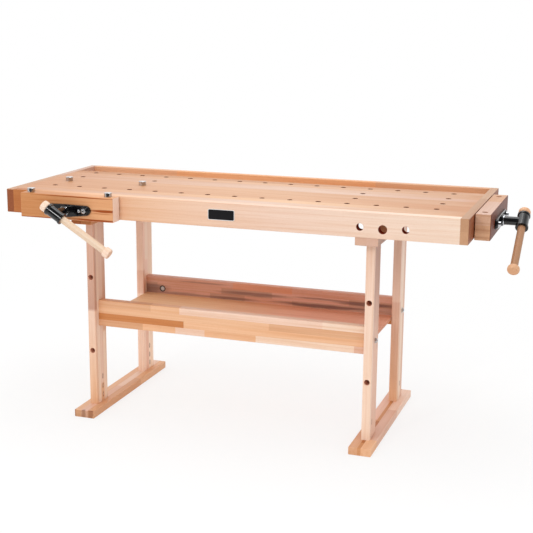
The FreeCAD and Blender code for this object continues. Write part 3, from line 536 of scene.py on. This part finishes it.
def beech(name, corner, along, across, size, staves, level=1.0, figure=1.0, ends=("russet", 0.3),
          painted_shade_face=None, streaks=(), bores=(), walls=None):
    """Planed, oiled beech: straight grain along each stave, short darker ray flecks, and open end
    grain on the faces that cut the fibres. It gives the eye soft streaks that follow the board,
    steps of tone where staves meet, and a low satin shine.
    corner and size are the board's own, in metres, along and across are unit vectors, and the rest
    is as in BOARDS."""
    tones = settings("beech")
    dice = random.Random(name)
    material, tree = new_material(name)
    deep = along.cross(across)
    coords = add(tree, "TexCoord")
    here = add(tree, "VectorMath", {0: coords["Object"], 1: corner}, operation="SUBTRACT")[0]
    u, v, w = (add(tree, "VectorMath", {0: here, 1: axis}, operation="DOT_PRODUCT")["Value"]
               for axis in (along, across, deep))
    board_point = add(tree, "CombineXYZ", {0: u, 1: v, 2: w})[0]

    row, shade, seam = lay_staves(tree, dice, size, staves, level, u, v)
    if streaks:
        shade = draw_streaks(tree, shade, board_point, streaks)
    # painted shade: faces beyond the given depth take a darker tone for the shade that falls on them
    if painted_shade_face:
        depth, tone = painted_shade_face
        outside = add(tree, "Math", {0: w, 1: depth * MM}, operation="GREATER_THAN")[0]
        shade = add(tree, "Mix", {0: outside, 6: shade, 7: getattr(tones, tone)[:]},
                    data_type="RGBA")[2]

    # every stave has grain of its own
    own = add(tree, "VectorMath", {0: row, "Scale": STAVE_SPREAD}, operation="SCALE")[0]
    origin = Vector([dice.uniform(0, BOARD_SPREAD) for _ in range(3)])
    grain_point = add(tree, "VectorMath", {0: board_point, 1: own}, operation="ADD")[0]
    grain_point = add(tree, "VectorMath", {0: grain_point, 1: origin}, operation="ADD")[0]
    shade, relief = draw_grain(tree, shade, grain_point, figure)
    if seam is not None:
        shade = add(tree, "Mix", {0: seam, 6: shade, 7: SEAM_TINT},
                    data_type="RGBA", blend_type="MULTIPLY")[2]
    shade, cut = draw_end_grain(tree, shade, coords["Normal"], along, ends, board_point, own, origin)
    # hole walls get painted shade where no tone of their own is given
    shade, hollow = line_bores(tree, shade, board_point, bores)
    # painted shade on the walls of the dog holes
    if walls:
        shade, hollow = shade_dog_hole_walls(tree, shade, hollow, coords["Normal"], deep, v, walls)

    rough = add(tree, "MapRange", {"Value": cut, "To Min": PLANED, "To Max": OPEN_GRAIN})[0]
    rough = add(tree, "Math", {0: rough, 1: hollow}, use_clamp=True)[0]
    bump = add(tree, "Bump", {"Height": relief, "Strength": 0.6,
                              "Distance": tones.grain_relief}, invert=True)[0]
    finish_surface(tree, Base_Color=shade, Roughness=rough, Normal=bump, Specular_IOR_Level=0.3)
    return material


def dress_board(name):
    """Works a board's material out of its box and its entry in BOARDS."""
    layout = dict(BOARDS[name])
    low, high = (Vector(corner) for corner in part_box(name))
    along, across = AXES[layout.pop("along")], AXES[layout.pop("across")]
    deep = along.cross(across)
    corner = Vector([lo if deep[i] >= 0 else hi for i, (lo, hi) in enumerate(zip(low, high))])
    size = (abs((high - low) @ along), abs((high - low) @ across))
    foot = low.z / MM
    if "pegs" in layout:
        tone = layout.pop("pegs")
        middle_x = (high.x - low.x) / 2 / MM
        layout["bores"] = [("v", z - foot, middle_x, PEG_REACH, tone) for z in PEG_HEIGHTS]
    if "knots" in layout:
        row, heights = layout.pop("knots")
        layout["streaks"] = [(z - foot, row, *spot) for z in heights for spot in KNOT]
    paint([name], beech("Beech_" + name, corner, along, across, size, **layout))


# ------------------------------------------------------------------ operators
class BENCH_OT_worktop(bpy.types.Operator):
    """Dress the top, its apron, end caps and tool tray in laminated beech"""
    bl_idname = "bench.worktop"
    bl_label = "Worktop and Tray"

    def execute(self, context):
        for name in ("worktop_slab", "front_apron", "end_cap_left", "end_cap_right", "back_rail",
                     "tray_inner_rail", "tray_floor", "tray_cleats"):
            dress_board(name)
        return {"FINISHED"}


class BENCH_OT_legs(bpy.types.Operator):
    """Dress the feet, posts and bearers in laminated beech"""
    bl_idname = "bench.legs"
    bl_label = "Leg Frames"

    def execute(self, context):
        for side in ("left", "right"):
            for name in ("foot_", "bearer_", "post_front_", "post_rear_"):
                dress_board(name + side)
        return {"FINISHED"}


class BENCH_OT_shelf(bpy.types.Operator):
    """Dress the shelf and its rails in finger-jointed beech"""
    bl_idname = "bench.shelf"
    bl_label = "Shelf"

    def execute(self, context):
        for name in ("shelf_rail_front", "shelf_rail_rear", "shelf_board", "shelf_cleats"):
            dress_board(name)
        return {"FINISHED"}


def enamelled_iron():
    """Cast iron under gloss black enamel: the sand grain shows through as a soft orange peel, and
    the film gives sharp, narrow highlights on the rounded edges."""
    metals = settings("metals")
    material, tree = new_material("Enamelled_cast_iron")
    point = add(tree, "TexCoord")["Object"]
    grain = add(tree, "TexNoise", {"Vector": point, "Scale": 1 / metals.casting_grain,
                                   "Detail": 2.0})[0]
    pooling = add(tree, "TexNoise", {"Vector": point, "Scale": 1 / metals.enamel_pool,
                                     "Detail": 2.0})[0]
    rough = add(tree, "MapRange", {"Value": pooling, "To Min": 0.1, "To Max": 0.22})[0]
    thin = add(tree, "MapRange", {"Value": pooling, "From Min": 0.3, "From Max": 0.8})[0]
    shade = add(tree, "Mix", {0: thin, 6: metals.enamel[:], 7: metals.enamel_thin[:]},
                data_type="RGBA")[2]
    bump = add(tree, "Bump", {"Height": grain, "Strength": 0.35,
                              "Distance": metals.casting_relief})[0]
    finish_surface(tree, Base_Color=shade, Roughness=rough, Normal=bump, Specular_IOR_Level=0.35,
                   Coat_Weight=0.4, Coat_Roughness=0.05)
    return material


def turned_steel(name, base, roughness, axis):
    """Steel turned on a lathe: fine rings round the axis break the highlight into a bright band with
    dark flanks. axis is the way the piece was turned about."""
    metals = settings("metals")
    material, tree = new_material(name)
    point = add(tree, "TexCoord")["Object"]
    along = add(tree, "VectorMath", {0: point, 1: axis}, operation="DOT_PRODUCT")["Value"]
    marks = add(tree, "TexNoise", {"W": along, "Scale": 1 / metals.lathe_pitch, "Detail": 3.0},
                noise_dimensions="1D")[0]
    smears = add(tree, "TexNoise", {"Vector": point, "Scale": 1 / metals.smear,
                                    "Detail": 3.0})[0]
    clean, smeared = TURNED_SPREAD
    rough = add(tree, "MapRange", {"Value": smears, "To Min": roughness * clean,
                                   "To Max": roughness * smeared})[0]
    darker = add(tree, "Mix", {0: marks, 6: base, 7: [c * MARK_SHADE for c in base]},
                 data_type="RGBA")[2]
    bump = add(tree, "Bump", {"Height": marks, "Strength": 0.25,
                              "Distance": metals.tool_relief})[0]
    finish_surface(tree, Base_Color=darker, Metallic=1.0, Roughness=rough, Normal=bump)
    return material


def plated(name, base, roughness, mottle):
    """Zinc-plated or bare iron hardware: a slightly cloudy coat with a soft, broad highlight. mottle
    is how dark the darkest cloud is against base."""
    metals = settings("metals")
    material, tree = new_material(name)
    point = add(tree, "TexCoord")["Object"]
    clouds = add(tree, "TexNoise", {"Vector": point, "Scale": 1 / metals.cloud,
                                    "Detail": 4.0})[0]
    shade = add(tree, "Mix", {0: clouds, 6: base, 7: [c * mottle for c in base]},
                data_type="RGBA")[2]
    smooth, dull = PLATED_SPREAD
    rough = add(tree, "MapRange", {"Value": clouds, "To Min": roughness * smooth,
                                   "To Max": roughness * dull})[0]
    bump = add(tree, "Bump", {"Height": clouds, "Strength": 0.15,
                              "Distance": metals.tool_relief})[0]
    finish_surface(tree, Base_Color=shade, Metallic=1.0, Roughness=rough, Normal=bump)
    return material


def steel_with_painted_rim_shade():
    """Barrel nuts: bright steel with painted shade at the rim of each face, for the dark gap round the nut,
    fading to bare steel in the middle.
    """
    metals = settings("metals")
    low, high = (Vector(corner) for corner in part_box("barrel_nuts"))
    radius = (high.z - low.z) / 2
    between = (high.x - low.x) / 2 - radius
    material, tree = new_material("Oil_blackened_steel")
    point = add(tree, "TexCoord")["Object"]
    off = add(tree, "VectorMath", {0: point, 1: (low + high) / 2}, operation="SUBTRACT")[0]
    off = add(tree, "VectorMath", {0: off}, operation="ABSOLUTE")[0]
    off = add(tree, "VectorMath", {0: off, 1: (between, 0.0, 0.0)}, operation="SUBTRACT")[0]
    off = add(tree, "VectorMath", {0: off, 1: (1.0, 0.0, 1.0)}, operation="MULTIPLY")[0]
    away = add(tree, "VectorMath", {0: off}, operation="LENGTH")["Value"]
    clouds = add(tree, "TexNoise", {"Vector": point, "Scale": 1 / metals.cloud,
                                    "Detail": 4.0})[0]
    edge = add(tree, "Math", {0: clouds, 1: radius * NUT_CLOUDS, 2: away},
               operation="MULTIPLY_ADD")[0]
    begins, gone = NUT_RIM_SHADE
    clear_of_rim_shade = add(tree, "MapRange", {"Value": edge, "From Min": radius * begins,
                                  "From Max": radius * gone})[0]
    shade = add(tree, "Mix", {0: clear_of_rim_shade, 6: metals.painted_rim_shade[:], 7: metals.steel[:]},
                data_type="RGBA")[2]
    rough = add(tree, "MapRange", {"Value": clear_of_rim_shade, "To Min": 0.55, "To Max": 0.35})[0]
    bump = add(tree, "Bump", {"Height": clouds, "Strength": 0.15,
                              "Distance": metals.tool_relief})[0]
    finish_surface(tree, Base_Color=shade, Metallic=1.0, Roughness=rough, Normal=bump)
    return material


def threaded_spindle(vise):
    """A turned spindle with a right-hand trapezoidal thread, in place of the ringed CAD solid."""
    metals = settings("metals")
    joint = JOINTS[vise + "_screw_turn"]
    outward = Vector(joint["axis"])
    low, high = (Vector(corner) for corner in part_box(vise + "_spindle"))
    middle = (low + high) / 2
    total = abs((high - low) @ outward)
    start = middle + outward * total / 2
    journal_end = abs((start - Vector(joint["pos_m"])) @ outward) + JAW_INSIDE
    pitch, crest, root = metals.thread_pitch, metals.thread_radius, metals.thread_root
    flank = (crest - root) * math.tan(FLANK_ANGLE)
    land = pitch / 2 - flank
    shape = ((0, crest), (land, crest), (land + flank, root), (pitch - flank, root))
    turns = int((total - journal_end) / pitch) + 2
    journal = [(0.0, metals.journal_radius - EASE), (EASE, metals.journal_radius),
               (journal_end - EASE, metals.journal_radius), (journal_end, metals.journal_radius - EASE)]
    tip = 1.5 * EASE             # the thread narrows over this much at its end
    mesh = bmesh.new()
    columns = []
    for step in range(THREAD_STEPS):
        angle = 2 * math.pi * step / THREAD_STEPS
        column = list(journal)
        for turn in range(-1, turns):
            for offset, radius in shape:
                along = journal_end + (turn + step / THREAD_STEPS) * pitch + offset
                along = min(max(along, journal_end), total)
                column.append((along, min(radius, crest - max(0.0, along - total + tip))))
        columns.append([mesh.verts.new((r * math.cos(angle), r * math.sin(angle), along))
                        for along, r in column])
    # the last column meets the first one a turn further on
    plain = len(journal)
    for step in range(THREAD_STEPS):
        here, there = columns[step], columns[(step + 1) % THREAD_STEPS]
        jump = len(shape) if step == THREAD_STEPS - 1 else 0
        for i in range(len(here) - 1):
            j = i + (jump if i >= plain else 0)
            k = i + 1 + (jump if i + 1 >= plain else 0)
            if k < len(there):
                mesh.faces.new([here[i], here[i + 1], there[k], there[j]])
    bmesh.ops.remove_doubles(mesh, verts=mesh.verts, dist=WELD)
    bmesh.ops.holes_fill(mesh, edges=[e for e in mesh.edges if e.is_boundary], sides=0)
    bmesh.ops.recalc_face_normals(mesh, faces=mesh.faces)
    data = bpy.data.meshes.new(vise + "_thread")
    mesh.to_mesh(data)
    mesh.free()
    data.shade_smooth()
    data.set_sharp_from_angle(angle=CREASE)
    turn_to = Vector((0, 0, 1)).rotation_difference(-outward).to_matrix().to_4x4()
    data.transform(Matrix.Translation(start) @ turn_to)
    piece = bpy.data.objects.new(vise + "_threaded_spindle", data)
    bpy.context.scene.collection.objects.link(piece)
    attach(piece, vise + "_screw")
    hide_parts(vise + "_spindle")


class BENCH_OT_vises(bpy.types.Operator):
    """Dress both vises: jaws, castings, spindles, rods and handles"""
    bl_idname = "bench.vises"
    bl_label = "Vises"

    def execute(self, context):
        metals = settings("metals")
        iron = enamelled_iron()
        for vise in VISES:
            dress_board(vise + "_jaw")
            axis = Vector(JOINTS[vise + "_screw_turn"]["axis"])
            paint([vise + n for n in ("_jaw_plate", "_spindle_head", "_vise_carrier")], iron)
            threaded_spindle(vise)
            steel = turned_steel("Turned_steel_" + vise, metals.steel[:], roughness=0.24, axis=axis)
            paint([vise + n for n in ("_threaded_spindle", "_guide_rods")], steel)
            self.handle(vise)
        return {"FINISHED"}

    def handle(self, vise):
        """A turned handle: the grain runs along the bar and through both knobs."""
        along = Vector(JOINTS[vise + "_handle_slide"]["axis"])
        across = along.cross(Vector(JOINTS[vise + "_screw_turn"]["axis"]))
        low, high = (Vector(corner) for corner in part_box(vise + "_handle_knobs"))
        reach = (high - low).length
        corner = (low + high) / 2 - along * reach / 2 - across * (HANDLE_STAVE / 2 * MM)
        bar, knob = ("ash", "cream") if vise == "front" else ("clay", "peach")
        for part, tone in (("bar", bar), ("knobs", knob)):
            material = beech("Turned_beech_%s_%s" % (vise, part), corner, along, across,
                             (reach, HANDLE_STAVE * MM), [(HANDLE_STAVE, [(0, tone)])], ends=("tan", 0.3))
            paint(["%s_handle_%s" % (vise, part)], material)


class BENCH_OT_fasteners(bpy.types.Operator):
    """Dress the bench dogs, bolts, screws, washers and nuts"""
    bl_idname = "bench.fasteners"
    bl_label = "Dogs and Fasteners"

    def execute(self, context):
        metals = settings("metals")
        dogs = turned_steel("Turned_steel_dogs", metals.steel[:], roughness=0.1, axis=AXES["Z"])
        paint([place + "_dog_" + side for place in ("top", "jaw") for side in ("left", "right")], dogs)
        zinc = plated("Zinc_plated_steel", metals.zinc[:], roughness=0.18, mottle=0.85)
        paint(["rail_bolts", "rail_washers", "bearer_screws"]
              + [vise + n for vise in VISES for n in ("_guide_bolts", "_plate_screws", "_carrier_screws",
                                                      "_thrust_washer", "_retaining_collar")], zinc)
        iron = plated("Bare_iron", metals.raw_iron[:], roughness=0.4, mottle=0.5)
        paint([vise + "_spindle_nut" for vise in VISES], iron)
        # steel nuts with painted shade at their rims
        paint(["barrel_nuts"], steel_with_painted_rim_shade())
        return {"FINISHED"}


class BENCH_OT_name_plate(bpy.types.Operator):
    """Dress the blank name plate and its rim"""
    bl_idname = "bench.name_plate"
    bl_label = "Name Plate"

    def execute(self, context):
        metals = settings("metals")
        # Anodised aluminium sheet: flat black with a faint brushed direction and a soft sheen.
        material, tree = new_material("Black_anodised_aluminium")
        point = add(tree, "TexCoord")["Object"]
        stretched = add(tree, "VectorMath", {0: point, 1: per_metre(*PLATE_BRUSHING)},
                        operation="MULTIPLY")[0]
        brushed = add(tree, "TexNoise", {"Vector": stretched, "Scale": 1.0, "Detail": 2.0})[0]
        rough = add(tree, "MapRange", {"Value": brushed, "To Min": 0.28, "To Max": 0.42})[0]
        shade = add(tree, "Mix", {0: brushed, 6: metals.plate_face[:],
                                  7: metals.plate_lines[:]}, data_type="RGBA")[2]
        finish_surface(tree, Base_Color=shade, Roughness=rough, Specular_IOR_Level=0.2)
        paint(["name_plate"], material)
        # White lacquer on the rim: even, with a clear gloss.
        material, tree = new_material("White_lacquer")
        finish_surface(tree, Base_Color=metals.plate_edge[:], Roughness=0.3)
        paint(["name_plate_rim"], material)
        return {"FINISHED"}


class BENCH_OT_stage(bpy.types.Operator):
    """Lay the floor, hang the softboxes and set the camera"""
    bl_idname = "bench.stage"
    bl_label = "Stage"

    def execute(self, context):
        self.floor(context)
        self.room(context)
        self.lamps(context)
        self.camera(context)
        return {"FINISHED"}

    def floor(self, context):
        """Matt paper near the bench, which takes its shadow, and plain white further off to the eye.
        It is dim under the camera and behind it, for the dark flanks of round metal."""
        stage = settings("stage")
        bpy.ops.mesh.primitive_plane_add(size=stage.floor_size)
        floor = context.object
        floor.name = "studio_floor"
        floor.location.z = -FLOOR_DROP
        material, tree = new_material("Studio_paper")
        point = add(tree, "TexCoord")["Object"]
        away = add(tree, "VectorMath", {0: point}, operation="LENGTH")["Value"]
        far = add(tree, "MapRange", {"Value": away, "From Min": FLOOR_FADE[0],
                                     "From Max": FLOOR_FADE[1], "To Min": FLOOR_WHITE},
                  interpolation_type="SMOOTHSTEP")[0]
        back = add(tree, "VectorMath", {0: point, 1: [-c for c in AHEAD]},
                   operation="DOT_PRODUCT")["Value"]
        dim = add(tree, "MapRange", {"Value": back, "From Min": FLOOR_DIM[0],
                                     "From Max": FLOOR_DIM[1]})[0]
        shade = add(tree, "Mix", {0: dim, 6: stage.floor[:], 7: stage.floor_back[:]},
                    data_type="RGBA")[2]
        paper = add(tree, "BsdfDiffuse", {"Color": shade})[0]
        seen = add(tree, "LightPath")["Is Camera Ray"]
        white = add(tree, "Emission", {"Color": (1, 1, 1), "Strength": 1.0})[0]
        mix = add(tree, "Math", {0: far, 1: seen}, operation="MULTIPLY")[0]
        surface = add(tree, "MixShader", {0: mix, 1: paper, 2: white})[0]
        add(tree, "OutputMaterial", {"Surface": surface})
        floor.data.materials.append(material)

    def room(self, context):
        """A white tent, even for wood; what shines sees it bright overhead and dim behind the camera, so
        that round metal shows dark flanks."""
        stage = settings("stage")
        world = bpy.data.worlds.new("studio")
        context.scene.world = world
        world.use_nodes = True
        tree = world.node_tree
        tree.nodes.clear()
        way = add(tree, "TexCoord")["Generated"]
        mirrored = ROOM_DIM
        for toward, edge, core, power in PATCHES:
            near = add(tree, "VectorMath", {0: way, 1: toward}, operation="DOT_PRODUCT")["Value"]
            box = add(tree, "MapRange", {"Value": near, "From Min": edge, "From Max": core,
                                         "To Max": power})[0]
            mirrored = add(tree, "Math", {0: mirrored, 1: box})[0]
        path = add(tree, "LightPath")
        bright = add(tree, "Mix", {0: path["Is Glossy Ray"], 2: stage.room, 3: mirrored})[0]
        glow = add(tree, "Background", {"Color": (1, 1, 1), "Strength": bright})[0]
        white = add(tree, "Background", {"Color": (1, 1, 1), "Strength": 1.0})[0]
        both = add(tree, "MixShader", {0: path["Is Camera Ray"], 1: glow, 2: white})[0]
        add(tree, "OutputWorld", {"Surface": both})

    def lamps(self, context):
        stage = settings("stage")
        for name, place, side in LAMPS:
            light = bpy.data.lights.new(name, "AREA")
            light.size, light.energy = side, getattr(stage, name + "_power")
            lamp = bpy.data.objects.new(name, light)
            lamp.location = place
            lamp.rotation_euler = (Vector(place) - Vector(LAMP_AIM)).to_track_quat("Z", "Y").to_euler()
            context.scene.collection.objects.link(lamp)

    def camera(self, context):
        stage = settings("stage")
        view = bpy.data.cameras.new("camera")
        view.lens, view.sensor_width = stage.focal_length, CAMERA_FRAME
        view.shift_x, view.shift_y = LENS_SHIFT
        camera = bpy.data.objects.new("camera", view)
        camera.location = CAMERA_PLACE
        turn = (Matrix.Rotation(CAMERA_YAW, 3, "Z") @ Matrix.Rotation(math.pi / 2 - CAMERA_PITCH, 3, "X")
                @ Matrix.Rotation(-CAMERA_ROLL, 3, "Z"))
        camera.rotation_euler = turn.to_euler()
        context.scene.collection.objects.link(camera)
        context.scene.camera = camera
        context.scene.view_settings.view_transform = "Standard"


class BENCH_PT_finish(bpy.types.Panel):
    """Lists the bench's sizes, colours and build steps"""
    bl_idname = "BENCH_PT_finish"
    bl_label = "Joiner's Bench"
    bl_space_type = "VIEW_3D"
    bl_region_type = "UI"
    bl_category = "Bench"

    def draw(self, context):
        for step in STEPS:
            self.layout.operator(step.bl_idname)
        for group in GROUPS:
            box = self.layout.box()
            values = settings(group)
            for name in values.__annotations__:
                box.prop(values, name)


STEPS = (BENCH_OT_worktop, BENCH_OT_legs, BENCH_OT_shelf, BENCH_OT_vises, BENCH_OT_fasteners,
         BENCH_OT_name_plate, BENCH_OT_stage)
GROUPS = {"beech": BenchBeech, "metals": BenchMetals, "stage": BenchStage}


def register():
    for group in GROUPS.values():
        bpy.utils.register_class(group)
    for name, group in GROUPS.items():
        setattr(bpy.types.Scene, "bench_" + name, bpy.props.PointerProperty(type=group))
    for item in (*STEPS, BENCH_PT_finish):
        bpy.utils.register_class(item)


def unregister():
    for item in (BENCH_PT_finish, *reversed(STEPS)):
        bpy.utils.unregister_class(item)
    for name, group in GROUPS.items():
        delattr(bpy.types.Scene, "bench_" + name)
        bpy.utils.unregister_class(group)


def main():
    register()
    for step in STEPS:
        group, name = step.bl_idname.split(".")
        getattr(getattr(bpy.ops, group), name)()


if __name__ == "__main__":
    main()
